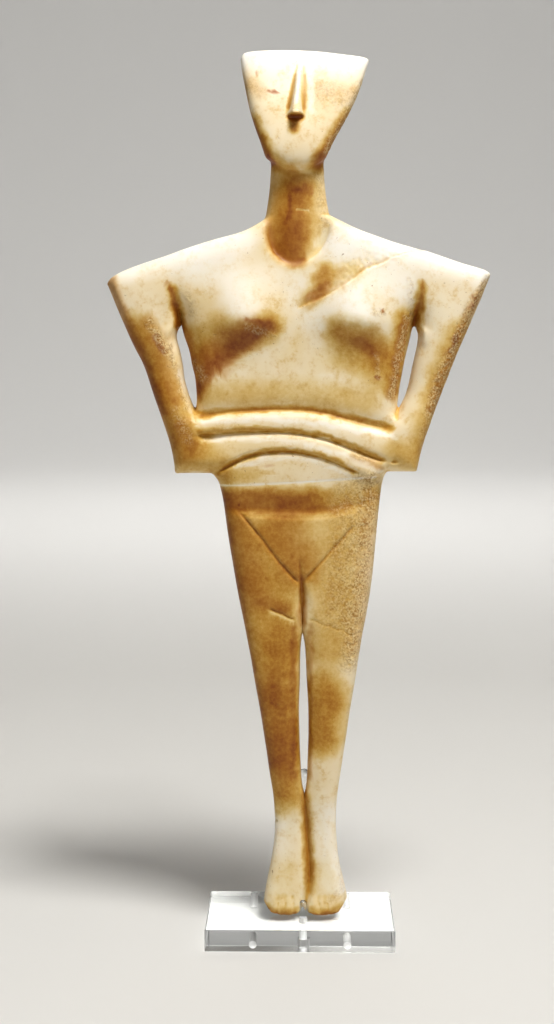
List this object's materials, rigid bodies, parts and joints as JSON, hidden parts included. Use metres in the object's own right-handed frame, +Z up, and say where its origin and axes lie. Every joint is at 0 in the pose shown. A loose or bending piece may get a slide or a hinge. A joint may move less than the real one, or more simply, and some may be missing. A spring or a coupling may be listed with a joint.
{
  "type": "cycladic figurine on a clear stand",
  "caption": "Marble figurine of a standing woman with folded arms and a shield-shaped head, on a clear acrylic slab with a pin and a post",
  "frame": {"origin": "middle of the underside of the stand's slab, straight under the middle of the figure's shoulders", "axes": "+X to the viewer's right, +Y from the figure's face towards its back, +Z up along the figure"},
  "size_m": [0.168, 0.05, 0.3963],
  "materials": {
    "marble": "worn white marble with honey and brown patina, softly polished, with rough crust at the edges",
    "clear_acrylic": "polished clear acrylic with frosted blind bores"
  },
  "bodies": {
    "root": {"figurine": "marble", "stand_slab": "clear_acrylic", "front_pin": "clear_acrylic", "rear_post": "clear_acrylic"}
  },
  "joints": []
}
